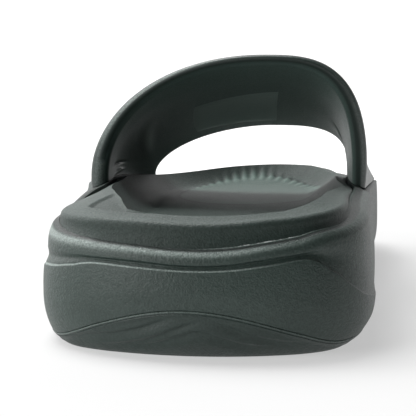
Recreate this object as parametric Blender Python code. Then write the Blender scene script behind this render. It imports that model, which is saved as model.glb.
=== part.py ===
# A left sport slide sandal: a thick foam sole with a wave at the back of the heel,
# a cupped footbed with its own rim, and one wide padded strap.
# Metres. +Y runs from heel to toe, +X to the medial side, +Z up, and the sole stands on z = 0.

import bisect
import math
from collections import namedtuple

import bmesh
import bpy
from mathutils import Vector

# Sizes that can be set one by one
LENGTH = 0.290
BALL_WIDTH = 0.110
SOLE_HEIGHT = 0.030
RIM_HEIGHT = 0.0375
INSTEP_HEIGHT = 0.0820
FRONT_HEIGHT = 0.0572
TOE_SPRING = 0.0090
ARCH_RISE = 0.0022
TUCK = 0.0080
OUTSOLE_PLATE = 0.0024
BAND_HEIGHT = 0.0032
WAVE_HEIGHT = 0.0138
WAVE_LIP = 0.0026
RIB_RELIEF = 0.0007
RIB_DROP = 0.0009
OUTSOLE_STEP = 0.0004
FOOT_ROUND = 0.0007
GROOVE_DEPTH = 0.0020
GROOVE_WIDTH = 0.0045
GROOVE_WAVE = 0.0050
PANEL_STEP = 0.0007
SHOULDER_ROUND = 0.0026
WELL_DEPTH = 0.0060
CUP_DEPTH = 0.0105
RIM_INSET = 0.0055
RIM_WIDTH = 0.0100
RIM_ROUND = 0.0014
STRAP_WALL = 0.0046
STRAP_FLARE_HEIGHT = 0.0150
CLEARANCE = 0.0003

# Places along the length, as shares of it
ARCH_PLACE = 0.42
ARCH_REACH = 0.15
SPRING_START = 0.80
TOP_SPRING = 0.22
STRAP_REAR = 0.448
STRAP_FRONT_LATERAL = 0.831
STRAP_FRONT_MEDIAL = 0.815
CROWN_REAR = 0.407
CROWN_FRONT = 0.741

# Outline of the sole at its widest, seen from above.
# centre and half are shares of the ball width.
Outline = namedtuple("Outline", "along centre half")
OUTLINE = (
    Outline(0.025, -0.002, 0.268),
    Outline(0.060, -0.006, 0.371),
    Outline(0.125, -0.012, 0.430),
    Outline(0.200, -0.016, 0.438),
    Outline(0.300, -0.021, 0.441),
    Outline(0.400, -0.033, 0.445),
    Outline(0.500, -0.053, 0.460),
    Outline(0.600, -0.071, 0.485),
    Outline(0.680, -0.076, 0.494),
    Outline(0.760, -0.064, 0.490),
    Outline(0.840, -0.035, 0.453),
    Outline(0.910, 0.000, 0.373),
    Outline(0.960, 0.032, 0.277),
    Outline(0.985, 0.050, 0.180),
)

# The side wall of the sole, on each side where that differs. tuck says how far the foot of the
# wall lies in from the widest line, and lean how far its shoulder does, as shares of TUCK.
# widest, shoulder and ledge are heights, as shares of the sole height, and round is a share of
# the shoulder's rounding.
Side = namedtuple(
    "Side",
    "along tuck_lateral tuck_medial lean widest"
    " shoulder_lateral shoulder_medial ledge_lateral ledge_medial round",
)
SIDE = (
    Side(0.000, 1.00, 1.00, 0.16, 0.53, 0.933, 0.933, 0.995, 0.995, 0.80),
    Side(0.008, 0.95, 0.98, 0.17, 0.53, 0.935, 1.015, 1.000, 1.060, 0.80),
    Side(0.022, 0.86, 0.95, 0.18, 0.53, 0.942, 1.070, 1.015, 1.120, 0.85),
    Side(0.034, 0.78, 0.92, 0.19, 0.53, 0.950, 1.120, 1.030, 1.165, 0.90),
    Side(0.060, 0.60, 0.85, 0.20, 0.53, 0.965, 1.165, 1.050, 1.185, 1.00),
    Side(0.140, 0.50, 0.75, 0.26, 0.54, 0.985, 1.213, 1.080, 1.250, 1.00),
    Side(0.220, 0.50, 0.72, 0.26, 0.55, 1.020, 1.240, 1.180, 1.270, 1.00),
    Side(0.320, 0.52, 0.70, 0.16, 0.56, 1.080, 1.230, 1.250, 1.270, 0.80),
    Side(0.420, 0.60, 0.75, 0.06, 0.57, 1.130, 1.170, 1.250, 1.250, 0.30),
    Side(0.600, 0.70, 0.75, 0.03, 0.57, 1.140, 1.140, 1.200, 1.200, 0.20),
    Side(0.780, 0.75, 0.75, 0.05, 0.56, 1.060, 1.060, 1.100, 1.100, 0.30),
    Side(0.900, 0.90, 0.90, 0.16, 0.60, 0.980, 0.980, 1.000, 1.000, 1.00),
    Side(1.000, 1.00, 1.00, 0.22, 0.66, 0.960, 0.960, 0.980, 0.980, 1.00),
)
WALL_CURVE = 3.0

# The panel line that runs around the heel and sweeps down both sides: its height, as a share
# of the sole height, and the share of the panel's step that is left.
Panel = namedtuple("Panel", "along lateral medial step")
PANEL = (
    Panel(0.000, 0.815, 0.815, 1.0),
    Panel(0.008, 0.815, 0.873, 1.0),
    Panel(0.023, 0.820, 0.937, 1.0),
    Panel(0.032, 0.820, 0.887, 1.0),
    Panel(0.038, 0.820, 0.805, 1.0),
    Panel(0.047, 0.820, 0.723, 1.0),
    Panel(0.059, 0.815, 0.610, 1.0),
    Panel(0.080, 0.800, 0.500, 1.0),
    Panel(0.105, 0.765, 0.460, 0.9),
    Panel(0.140, 0.610, 0.437, 0.8),
    Panel(0.220, 0.440, 0.400, 0.3),
    Panel(0.300, 0.360, 0.370, 0.0),
    Panel(1.000, 0.400, 0.400, 0.0),
)

# The footbed, on each side where that differs. wall says how far in its outer wall stands, as a
# share of RIM_INSET, and rim how wide its rim is there, as a share of RIM_WIDTH. edge and crest
# are heights as shares of the rim height; cup is a share of the cup depth below the crest.
Bed = namedtuple(
    "Bed",
    "along wall_lateral wall_medial rim_lateral rim_medial edge_lateral edge_medial crest cup",
)
BED = (
    Bed(0.000, 0.90, 0.90, 0.55, 0.55, 0.973, 0.973, 1.012, 0.95),
    Bed(0.008, 0.89, 0.93, 0.64, 0.56, 0.976, 1.005, 1.022, 0.96),
    Bed(0.022, 0.88, 0.98, 0.85, 0.58, 0.980, 1.024, 1.042, 0.98),
    Bed(0.040, 0.86, 1.05, 1.10, 0.60, 0.980, 1.042, 1.065, 1.00),
    Bed(0.080, 0.84, 1.25, 1.55, 0.58, 0.982, 1.062, 1.095, 1.10),
    Bed(0.140, 0.84, 1.42, 1.68, 0.55, 0.985, 1.061, 1.105, 1.15),
    Bed(0.200, 0.88, 1.45, 1.38, 0.50, 0.985, 1.055, 1.090, 1.15),
    Bed(0.270, 1.05, 1.42, 0.86, 0.36, 0.985, 1.035, 1.065, 1.05),
    Bed(0.345, 1.20, 1.20, 0.40, 0.22, 0.985, 1.010, 1.045, 0.95),
    Bed(0.420, 1.42, 1.15, 0.28, 0.22, 0.985, 0.990, 1.020, 0.85),
    Bed(0.600, 1.95, 1.80, 0.26, 0.26, 0.950, 0.950, 0.970, 0.80),
    Bed(0.780, 2.35, 2.20, 0.26, 0.26, 0.870, 0.870, 0.885, 0.60),
    Bed(0.880, 2.10, 2.10, 0.40, 0.40, 0.835, 0.835, 0.860, 0.50),
    Bed(1.000, 1.60, 1.60, 0.50, 0.50, 0.835, 0.835, 0.860, 0.45),
)

# The strap from its rear edge to its front edge. foot and waist are how far in from the widest
# line its outer face stands at its foot and above the flare, as shares of RIM_INSET. bow is the
# power of the arch on each side (2 is an ellipse), crown is its top's place across, as a share
# of the ball width.
Arch = namedtuple("Arch", "along foot waist_lateral waist_medial bow_lateral bow_medial crown wall")
ARCH = (
    Arch(0.00, 0.40, 0.28, 0.23, 2.06, 3.05, 0.079, 0.80),
    Arch(0.20, 0.25, 0.32, 0.40, 1.98, 2.85, 0.074, 1.00),
    Arch(0.55, 0.11, 0.50, 0.65, 1.90, 2.75, 0.062, 1.05),
    Arch(0.80, 0.20, 0.95, 1.00, 1.82, 3.00, 0.052, 1.00),
    Arch(1.00, 0.36, 1.35, 1.30, 1.74, 3.40, 0.045, 0.85),
)

# The wave at the back of the heel: one big arc, the outsole's edge, and the ribs nested in it.
# height is a share of the wave height, turn half its spread around the heel in degrees. The
# ribs are full up to RIB_LEVEL degrees from the crest and fade over the next RIB_FADE.
Rib = namedtuple("Rib", "height turn")
WAVE_TURN = 32.0
WAVE_CENTRE = 2.0
RIB_LEVEL = 10.0
RIB_FADE = 22.0
RIB_POWER = 1.1
RIB_FLOOR = 0.4
RIBS = (
    Rib(0.76, 27.0),
    Rib(0.58, 20.0),
    Rib(0.40, 14.0),
)

# The grooves of the tread: where the first and the last of each group lie, along the length.
# Their waves die out over HEEL_CALM and TOE_CALM, shares of the length, and the grooves end at
# GROOVE_END, a share of the way from the middle to the edge.
Tread = namedtuple("Tread", "first last grooves")
TREADS = (
    Tread(0.115, 0.325, 5),
    Tread(0.580, 0.790, 5),
)
GROOVE_BENDS = 1.5
GROOVE_END = 0.9
HEEL_CALM = 0.12
TOE_CALM = 0.16

# Rings of the midsole's wall. share is the way up between two edges and proud how far the
# wall stands out there, as a share of the panel's step.
Level = namedtuple("Level", "share proud")
BELOW_PANEL = (
    Level(0.00, 0.0),
    Level(0.12, 0.3),
    Level(0.40, 0.5),
    Level(0.72, 0.5),
    Level(1.00, 0.5),
)
ABOVE_PANEL = (
    Level(0.12, -0.5),
    Level(0.50, -0.2),
    Level(1.00, 0.0),
)

# How finely the pieces are divided
HEEL_TURNS = 7
WAIST_ROWS = 4
TOE_TURNS = 8
TREAD_COLUMNS = 8
STRAP_SPANS = 32
STRAP_ROWS = 9

# Share of the length where the ball of the heel and the ball of the toes are centred; the
# rings of the caps shrink towards the line between them.
SPINE_HEEL = 0.15
SPINE_TOE = 0.86
LEVEL_MIDDLE = 0.35

# The cup: the share of its half width that its curved side takes, how its side bends, and the
# shares of its width where its rings lie
CREST_SHARE = 0.9
CUP_SIDE = 0.34
CUP_BEND = 0.75
CUP_RINGS = (0.965, 0.91, 0.84, 0.76, 0.66, 0.40)

# The rounded edge of the strap: how far it reaches in, as a share of the strap's length, and
# its three points
STRAP_NOSE = 0.03
Nose = namedtuple("Nose", "along depth")
NOSE = (
    Nose(0.988, 0.16),
    Nose(1.000, 0.50),
    Nose(0.988, 0.84),
)

COLOURS = {
    "outsole": (0.035, 0.046, 0.042),
    "midsole": (0.045, 0.060, 0.055),
    "footbed": (0.070, 0.092, 0.084),
    "strap": (0.028, 0.040, 0.036),
}


def read_table(rows, column, at):
    """A smooth value of one column, between the rows of a table."""
    places = [row.along for row in rows]
    values = [getattr(row, column) for row in rows]
    if at <= places[0]:
        return values[0]
    if at >= places[-1]:
        return values[-1]

    def slope(k):
        before = max(k - 1, 0)
        after = min(k + 1, len(rows) - 1)
        return (values[after] - values[before]) / (places[after] - places[before])

    i = bisect.bisect_right(places, at) - 1
    span = places[i + 1] - places[i]
    s = (at - places[i]) / span
    start = (2 * s**3 - 3 * s**2 + 1) * values[i] + (s**3 - 2 * s**2 + s) * span * slope(i)
    end = (3 * s**2 - 2 * s**3) * values[i + 1] + (s**3 - s**2) * span * slope(i + 1)
    return start + end


def mix(a, b, share):
    return a + (b - a) * share


def ease(share):
    """0 to 1 with level ends."""
    s = min(max(share, 0.0), 1.0)
    return s * s * (3 - 2 * s)


# The outline. turn goes once around it: 0 at the back of the heel, pi at the tip of the toe,
# lateral side first.
ROUND_OUTLINE = tuple(
    Outline(row.along, row.centre, row.half / math.sqrt(row.along * (1 - row.along)))
    for row in OUTLINE
)


def along_of(turn):
    return (1 - math.cos(turn)) / 2


def turn_of(along):
    return math.acos(1 - 2 * along)


def edge(turn):
    along = along_of(turn)
    centre = read_table(ROUND_OUTLINE, "centre", along)
    half = read_table(ROUND_OUTLINE, "half", along)
    across = centre - half * math.sin(turn) / 2
    return Vector((across * BALL_WIDTH, along * LENGTH))


def inside_edge(turn, inset):
    """A point of the outline, moved in along its normal."""
    step = 0.01
    tangent = (edge(turn + step) - edge(turn - step)).normalized()
    inward = Vector((tangent.y, -tangent.x))
    return edge(turn) + inward * inset


def ground(along):
    """Height of the tread: flat under heel and ball, a low arch, and the toe spring."""
    arch = ARCH_RISE * (1 - ease(abs(along - ARCH_PLACE) / ARCH_REACH))
    spring = max(along - SPRING_START, 0.0) / (1 - SPRING_START)
    return arch + TOE_SPRING * spring**2


def rise(along):
    """How much the toe spring lifts what lies above the tread."""
    spring = max(along - SPRING_START, 0.0) / (1 - SPRING_START)
    return TOE_SPRING * TOP_SPRING * spring**2


def lateral_share(turn):
    """1 on the lateral side, 0 on the medial side, and a half at both ends."""
    sine = math.sin(turn)
    return (1 + sine * (3 - sine**2) / 2) / 2


def read_sides(rows, column, turn):
    """A value that a table gives for each side."""
    along = along_of(turn)
    lateral = read_table(rows, column + "lateral", along)
    medial = read_table(rows, column + "medial", along)
    return mix(medial, lateral, lateral_share(turn))


def side_height(turn, column):
    return read_sides(SIDE, column, turn) * SOLE_HEIGHT + rise(along_of(turn))


def panel_height(turn):
    return read_sides(PANEL, "", turn) * SOLE_HEIGHT + rise(along_of(turn))


def wall_inset(turn, height):
    """How far in the side wall lies from the widest line, at a height."""
    along = along_of(turn)
    tuck = read_sides(SIDE, "tuck_", turn) * TUCK
    lean = read_table(SIDE, "lean", along) * TUCK
    bottom = ground(along)
    widest = read_table(SIDE, "widest", along) * SOLE_HEIGHT + rise(along)
    top = side_height(turn, "shoulder_")
    if height < widest:
        share = (widest - height) / (widest - bottom)
        return tuck * share**WALL_CURVE
    return lean * ((height - widest) / (top - widest)) ** 2


def degrees_from_heel(turn):
    """Degrees around the outline from the wave's crest, lateral side positive."""
    angle = math.degrees(turn)
    if angle > 180.0:
        angle -= 360.0
    return angle - WAVE_CENTRE


def wave_height(turn):
    """Height of the outsole's edge: a low band that swells into the heel's big arc."""
    away = min(abs(degrees_from_heel(turn)) / WAVE_TURN, 1.0)
    swell = math.cos(away * math.pi / 2) ** 2
    return ground(along_of(turn)) + mix(BAND_HEIGHT, WAVE_HEIGHT, swell)


def rib_height(turn, rib):
    """Height of a nested rib: a soft chevron that runs out at the foot of the wall."""
    away = min(abs(degrees_from_heel(turn)) / rib.turn, 1.0)
    return rib.height * WAVE_HEIGHT * (1 - away) ** RIB_POWER


def rib_strength(turn):
    return 1 - ease((abs(degrees_from_heel(turn)) - RIB_LEVEL) / RIB_FADE)


def ledge_height(turn, inset):
    """Top of the midsole between its shoulder and the footbed."""
    outer = side_height(turn, "shoulder_")
    inner = side_height(turn, "ledge_")
    start = wall_inset(turn, outer)
    share = (inset - start) / (bed_inset(turn) - start)
    return mix(outer, inner, min(max(share, 0.0), 1.0))


def shoulder_round(turn):
    return read_table(SIDE, "round", along_of(turn)) * SHOULDER_ROUND


def bed_inset(turn):
    return read_sides(BED, "wall_", turn) * RIM_INSET


def bed_edge(turn):
    return read_sides(BED, "edge_", turn) * RIM_HEIGHT + rise(along_of(turn))


def bed_crest(turn):
    along = along_of(turn)
    return read_table(BED, "crest", along) * RIM_HEIGHT + rise(along)


def bed_floor(turn):
    along = along_of(turn)
    return bed_crest(turn) - read_table(BED, "cup", along) * CUP_DEPTH


def well_floor(turn):
    return bed_floor(turn) - WELL_DEPTH


def stations():
    """Turns of the lateral side, heel to toe: close at both ends and at each groove."""
    groove = GROOVE_WIDTH / LENGTH
    rows = []
    for tread in TREADS:
        for k in range(tread.grooves):
            middle = mix(tread.first, tread.last, k / (tread.grooves - 1))
            rows.extend((middle - groove / 2, middle, middle + groove / 2))
    heel_end = turn_of(rows[0])
    toe_start = turn_of(rows[-1])
    waist_start = TREADS[0].last + groove / 2
    waist_end = TREADS[1].first - groove / 2
    turns = [heel_end * k / HEEL_TURNS for k in range(HEEL_TURNS)]
    turns += [turn_of(row) for row in rows]
    turns += [
        turn_of(mix(waist_start, waist_end, (k + 1) / (WAIST_ROWS + 1)))
        for k in range(WAIST_ROWS)
    ]
    turns += [mix(toe_start, math.pi, (k + 1) / TOE_TURNS) for k in range(TOE_TURNS)]
    return sorted(turns)


LATERAL_TURNS = stations()
TURNS = LATERAL_TURNS + [2 * math.pi - turn for turn in reversed(LATERAL_TURNS[1:-1])]
LAST = len(LATERAL_TURNS) - 1


def is_groove(station):
    """True at the middle row of a groove."""
    along = along_of(LATERAL_TURNS[station])
    for tread in TREADS:
        for k in range(tread.grooves):
            middle = mix(tread.first, tread.last, k / (tread.grooves - 1))
            if abs(along - middle) < 1e-6:
                return True
    return False


def ring(inset, height):
    """One closed loop of points; inset and height are functions of the turn."""
    points = []
    for turn in TURNS:
        flat = inside_edge(turn, inset(turn))
        points.append(Vector((flat.x, flat.y, height(turn))))
    return points


def shrunk(points, share, height):
    """A ring drawn in towards the sole's long middle line."""
    first = SPINE_HEEL * LENGTH
    last = SPINE_TOE * LENGTH
    inner = []
    for point, turn in zip(points, TURNS):
        y = min(max(point.y, first), last)
        along = y / LENGTH
        middle = Vector((read_table(OUTLINE, "centre", along) * BALL_WIDTH, y, 0.0))
        moved = middle.lerp(Vector((point.x, point.y, 0.0)), share)
        inner.append(Vector((moved.x, moved.y, height(turn, share))))
    return inner


def add_ring(mesh, points):
    return [mesh.verts.new(point) for point in points]


def bridge(mesh, lower, upper):
    count = len(lower)
    for i in range(count):
        j = (i + 1) % count
        mesh.faces.new((lower[i], lower[j], upper[j], upper[i]))


def close_across(mesh, loop):
    """Faces from each lateral point of a ring to its medial partner."""
    count = len(loop)
    mesh.faces.new((loop[0], loop[1], loop[count - 1]))
    for i in range(1, LAST - 1):
        mesh.faces.new((loop[i], loop[i + 1], loop[count - i - 1], loop[count - i]))
    mesh.faces.new((loop[LAST - 1], loop[LAST], loop[LAST + 1]))


def make_object(name, mesh):
    """A named object with its own material from a finished bmesh."""
    bmesh.ops.recalc_face_normals(mesh, faces=mesh.faces)
    data = bpy.data.meshes.new(name)
    mesh.to_mesh(data)
    mesh.free()
    data.shade_smooth()
    data.set_sharp_from_angle(angle=math.radians(35))
    material = bpy.data.materials.new(name)
    material.use_nodes = True
    shader = material.node_tree.nodes["Principled BSDF"]
    shader.inputs["Base Color"].default_value = (*COLOURS[name], 1.0)
    shader.inputs["Roughness"].default_value = 0.6
    shader.inputs["Metallic"].default_value = 0.0
    data.materials.append(material)
    obj = bpy.data.objects.new(name, data)
    obj.location = (-CENTRE.x, -CENTRE.y, 0.0)
    bpy.context.collection.objects.link(obj)
    return obj


def make_solid(name, rings):
    """A closed body from a stack of rings, each end closed across."""
    mesh = bmesh.new()
    loops = [add_ring(mesh, points) for points in rings]
    for lower, upper in zip(loops, loops[1:]):
        bridge(mesh, lower, upper)
    close_across(mesh, loops[0])
    close_across(mesh, loops[-1])
    return make_object(name, mesh)


# Outsole: its wall carries the wave and ribs, its underside the grooves


def outsole_wall(turn, height, relief):
    carved = relief * rib_strength(turn) * RIB_RELIEF
    return wall_inset(turn, height) + OUTSOLE_STEP + carved


def lip_rings(gap):
    """The plate's top and the inner face of the lip, where the midsole sits at a small gap."""
    def plate(turn):
        return ground(along_of(turn)) + OUTSOLE_PLATE

    rings = []
    for share in (0.0, 0.5, 1.0):
        def height(turn, share=share):
            return mix(plate(turn), wave_height(turn), share)

        def inset(turn, height=height):
            return outsole_wall(turn, height(turn), 0.0) + WAVE_LIP + gap

        rings.append(ring(inset, lambda turn, height=height: height(turn) + gap))
    middle = shrunk(rings[0], LEVEL_MIDDLE, lambda turn, share: plate(turn) + gap)
    return [middle] + rings


def outsole_rings():
    """From the middle of the plate's top, over the lip and down the wall."""
    rings = lip_rings(0.0)
    rings.append(ring(lambda t: outsole_wall(t, wave_height(t), 0.0), wave_height))
    levels = len(RIBS) * 2 + 1
    for k, rib in enumerate(RIBS):
        for part, relief in ((0, 0.0), (1, 1.0)):
            floor_share = (levels - 2 * k - part) / (levels + 1)

            def height(turn, rib=rib, part=part, floor_share=floor_share):
                bottom = ground(along_of(turn))
                plain = mix(bottom, wave_height(turn), floor_share)
                carved = bottom + rib_height(turn, rib) - part * RIB_DROP
                return mix(plain, max(carved, plain * RIB_FLOOR), rib_strength(turn))

            def inset(turn, height=height, relief=relief):
                return outsole_wall(turn, height(turn), relief)

            rings.append(ring(inset, height))
    return rings


def outsole():
    mesh = bmesh.new()
    rings = outsole_rings()

    def foot(turn):
        return outsole_wall(turn, ground(along_of(turn)), 0.5)

    rings.append(ring(foot, lambda t: ground(along_of(t)) + FOOT_ROUND))
    rings.append(ring(lambda t: foot(t) + FOOT_ROUND, lambda t: ground(along_of(t))))
    loops = [add_ring(mesh, points) for points in rings]
    for upper, lower in zip(loops, loops[1:]):
        bridge(mesh, upper, lower)
    close_across(mesh, loops[0])
    tread(mesh, loops[-1])
    return make_object("outsole", mesh)


def tread(mesh, loop):
    """The underside: rows from side to side, bent into waves, with V grooves between lugs."""
    count = len(loop)
    rows = []
    for i in range(1, LAST):
        left = loop[i]
        right = loop[count - i]
        row = [left]
        for k in range(1, TREAD_COLUMNS):
            across = 2 * k / TREAD_COLUMNS - 1
            share = (across + 1) / 2
            point = left.co.lerp(right.co, share)
            fade = 1 - across**2
            bend = math.cos(math.pi * across * GROOVE_BENDS)
            point.y += GROOVE_WAVE * bend * fade * end_fade(i)
            if is_groove(i) and abs(across) < GROOVE_END:
                point.z += GROOVE_DEPTH
            row.append(mesh.verts.new(point))
        row.append(right)
        rows.append(row)
    for near, far in zip(rows, rows[1:]):
        for k in range(TREAD_COLUMNS):
            mesh.faces.new((near[k], far[k], far[k + 1], near[k + 1]))
    for k in range(TREAD_COLUMNS):
        mesh.faces.new((loop[0], rows[0][k], rows[0][k + 1]))
        mesh.faces.new((loop[LAST], rows[-1][k + 1], rows[-1][k]))


def end_fade(station):
    """The wave of the rows dies out towards the ends, where the rows crowd together."""
    along = along_of(LATERAL_TURNS[station])
    return ease(along / HEEL_CALM) * ease((1 - along) / TOE_CALM)


# Midsole: the bulging foam body with a well for the footbed


def midsole():
    rings = lip_rings(CLEARANCE)

    def split(turn):
        return wave_height(turn) + CLEARANCE

    def depth(turn):
        return PANEL_STEP * read_table(PANEL, "step", along_of(turn))

    def shoulder_foot(turn):
        return side_height(turn, "shoulder_") - shoulder_round(turn)

    def level(share, low, high, proud):
        """One ring of the wall, at a share of the way between two heights."""
        def height(turn):
            return mix(low(turn), high(turn), share)

        def inset(turn):
            return wall_inset(turn, height(turn)) - proud * depth(turn)

        return ring(inset, height)

    for row in BELOW_PANEL:
        rings.append(level(row.share, split, panel_height, row.proud))
    for row in ABOVE_PANEL:
        rings.append(level(row.share, panel_height, shoulder_foot, row.proud))

    def rounded(angle):
        """One ring of the shoulder's quarter round."""
        def inset(turn):
            start = wall_inset(turn, shoulder_foot(turn))
            return start + shoulder_round(turn) * (1 - math.cos(angle))

        def height(turn):
            return shoulder_foot(turn) + shoulder_round(turn) * math.sin(angle)

        return ring(inset, height)

    rings.append(rounded(math.radians(30)))
    rings.append(rounded(math.radians(60)))

    def well(turn):
        return bed_inset(turn) - CLEARANCE

    def ledge(share):
        def inset(turn):
            start = wall_inset(turn, shoulder_foot(turn)) + shoulder_round(turn)
            return mix(start, well(turn), share)

        return ring(inset, lambda turn: ledge_height(turn, inset(turn)))

    rings.append(ledge(0.0))
    rings.append(ledge(0.5))
    rings.append(ledge(1.0))
    floor = ring(well, well_floor)
    rings.append(floor)
    rings.append(shrunk(floor, LEVEL_MIDDLE, lambda turn, share: well_floor(turn)))
    return make_solid("midsole", rings)


# Footbed: a foam insole whose rim stands above the midsole's ledge


def footbed():
    def seat(turn):
        return well_floor(turn) + CLEARANCE

    def top_edge(turn):
        return bed_edge(turn) - RIM_ROUND

    foot = ring(bed_inset, seat)
    rings = [shrunk(foot, LEVEL_MIDDLE, lambda turn, share: seat(turn)), foot]
    rings.append(ring(bed_inset, top_edge))

    def rounded(angle):
        def inset(turn):
            return bed_inset(turn) + RIM_ROUND * (1 - math.cos(angle))

        return ring(inset, lambda turn: top_edge(turn) + RIM_ROUND * math.sin(angle))

    rings.append(rounded(math.radians(40)))
    rings.append(rounded(math.radians(80)))

    def crest_inset(turn):
        return bed_inset(turn) + RIM_ROUND + read_sides(BED, "rim_", turn) * RIM_WIDTH

    def slope(share):
        def inset(turn):
            return mix(bed_inset(turn) + RIM_ROUND, crest_inset(turn), share)

        return ring(inset, lambda turn: mix(bed_edge(turn), bed_crest(turn), share))

    rings.append(slope(0.5))
    crest = slope(CREST_SHARE)
    rings.append(crest)

    def cup(turn, share):
        """Height inside the cup: steep below the crest, then level."""
        down = ease(((1 - share) / CUP_SIDE) ** CUP_BEND)
        return mix(bed_crest(turn), bed_floor(turn), down)

    for share in CUP_RINGS:
        rings.append(shrunk(crest, share, cup))
    return make_solid("footbed", rings)


# Strap: one padded band, arched from the lateral to the medial ledge


def strap_edge(turn, inset):
    """A point where the strap stands on the ledge."""
    flat = inside_edge(turn, inset)
    return Vector((flat.x, flat.y, ledge_height(turn, inset) + CLEARANCE))


def strap_point(across, along, depth):
    """A point of the strap.

    across: 0 at the lateral foot, 1 at the medial foot.
    along: 0 at the rear edge, 1 at the front edge.
    depth: 0 on the outer face, 1 on the inner face.
    """
    if across < 0.5:
        side = "lateral"
        turn = turn_of(mix(STRAP_REAR, STRAP_FRONT_LATERAL, along))
    else:
        side = "medial"
        turn = 2 * math.pi - turn_of(mix(STRAP_REAR, STRAP_FRONT_MEDIAL, along))
    bow = read_table(ARCH, "bow_" + side, along)
    waist = read_table(ARCH, "waist_" + side, along) * RIM_INSET
    foot = read_table(ARCH, "foot", along) * RIM_INSET
    inner = bed_inset(turn) - CLEARANCE
    stand = strap_edge(turn, mix(foot, inner, depth))
    stance = strap_edge(turn, mix(waist, inner, depth))
    stance.z = stand.z
    wall = read_table(ARCH, "wall", along) * STRAP_WALL
    crown = Vector((
        read_table(ARCH, "crown", along) * BALL_WIDTH,
        mix(CROWN_REAR, CROWN_FRONT, along) * LENGTH,
        mix(INSTEP_HEIGHT, FRONT_HEIGHT, along) - wall * depth,
    ))
    angle = math.pi * across
    inwards = 1 - abs(math.cos(angle)) ** (2 / bow)
    upwards = max(math.sin(angle), 0.0) ** (2 / bow)
    point = Vector((
        mix(stance.x, crown.x, inwards),
        mix(stance.y, crown.y, upwards),
        mix(stance.z, crown.z, upwards),
    ))
    near_foot = max(1 - (point.z - stand.z) / STRAP_FLARE_HEIGHT, 0.0) ** 2
    point.x += (stand.x - stance.x) * near_foot
    point.y += (stand.y - stance.y) * near_foot
    return point


def strap_loop(across):
    """The band's closed section: out along its outer face, around the edges, and back."""
    rows = [mix(STRAP_NOSE, 1 - STRAP_NOSE, k / (STRAP_ROWS - 1)) for k in range(STRAP_ROWS)]
    points = [strap_point(across, along, 0.0) for along in rows]
    points += [strap_point(across, along, depth) for along, depth in NOSE]
    points += [strap_point(across, along, 1.0) for along in reversed(rows)]
    points += [strap_point(across, 1 - along, depth) for along, depth in reversed(NOSE)]
    return points


def strap():
    mesh = bmesh.new()
    loops = [add_ring(mesh, strap_loop(k / STRAP_SPANS)) for k in range(STRAP_SPANS + 1)]
    for one, other in zip(loops, loops[1:]):
        bridge(mesh, one, other)
    for loop in (loops[0], loops[-1]):
        half = STRAP_ROWS
        back = [loop[2 * half + 2 - k] for k in range(half)]
        for k in range(half - 1):
            mesh.faces.new((loop[k], loop[k + 1], back[k + 1], back[k]))
        mesh.faces.new((loop[half - 1], *loop[half:half + 3], back[half - 1]))
        mesh.faces.new((back[0], *loop[2 * half + 3:], loop[0]))
    return make_object("strap", mesh)


def remove_old_objects():
    for obj in list(bpy.data.objects):
        bpy.data.objects.remove(obj)


# The middle of the sole's own box, which becomes the origin
ACROSS = [edge(turn).x for turn in TURNS]
CENTRE = Vector(((min(ACROSS) + max(ACROSS)) / 2, LENGTH / 2))

remove_old_objects()
outsole()
midsole()
footbed()
strap()
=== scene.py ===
import functools
import math
from collections import namedtuple

import bmesh
import bpy
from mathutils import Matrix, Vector


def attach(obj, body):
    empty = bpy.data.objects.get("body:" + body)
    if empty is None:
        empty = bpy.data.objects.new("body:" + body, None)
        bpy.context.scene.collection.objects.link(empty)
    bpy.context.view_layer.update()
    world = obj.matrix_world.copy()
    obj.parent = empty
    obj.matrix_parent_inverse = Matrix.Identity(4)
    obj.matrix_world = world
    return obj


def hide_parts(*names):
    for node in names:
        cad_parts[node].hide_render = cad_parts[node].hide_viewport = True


# A left sport slide sandal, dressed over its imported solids. Metres, +Y from heel to toe, +X to
# the medial side, and the sole stands on z = 0.
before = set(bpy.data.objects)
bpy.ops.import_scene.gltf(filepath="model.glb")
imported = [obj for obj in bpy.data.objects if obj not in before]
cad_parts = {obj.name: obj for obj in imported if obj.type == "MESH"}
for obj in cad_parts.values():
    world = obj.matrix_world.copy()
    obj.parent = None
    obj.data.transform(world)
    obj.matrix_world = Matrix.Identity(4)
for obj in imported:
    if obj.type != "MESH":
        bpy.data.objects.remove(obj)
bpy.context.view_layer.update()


# The outsole is a thin plate of dense foam, moulded with waves of grooves on its underside. At
# the back of the heel its edge swells up into one big arc, and softer ridges are nested in it.
LENGTH = 0.290
BALL_WIDTH = 0.110
SOLE_HEIGHT = 0.030
TUCK = 0.0080
WALL_CURVE = 3.0
TOE_SPRING = 0.0090
TOP_SPRING = 0.22
SPRING_START = 0.80
ARCH_RISE = 0.0022
ARCH_PLACE = 0.42
ARCH_REACH = 0.15
PLATE = 0.0024
BAND_HEIGHT = 0.0032
WAVE_HEIGHT = 0.0138
WAVE_TURN = 32.0
WAVE_CENTRE = 2.0
LIP = 0.0026
BEAD = 0.0004
BEAD_STEP = 0.0005
BEAD_PROUD = 0.35
BEAD_PAINTED_HIGHLIGHT = 0.9
BEAD_FOOT = 0.0012
FOOT_ROUND = 0.0009
SEAM = 0.00006
GROOVE_DEPTH = 0.0019
GROOVE_WIDTH = 0.0045
GROOVE_WAVE = 0.0050
GROOVE_BENDS = 1.5
GROOVE_END = 0.92
GROOVE_FADE = 0.08
GROOVE_CALM_HEEL = 0.12
GROOVE_CALM_TOE = 0.16
STEPS_AROUND = 720
STEPS_ACROSS = 44
LIP_LEVELS = 4
WALL_LEVELS = 40

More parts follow.
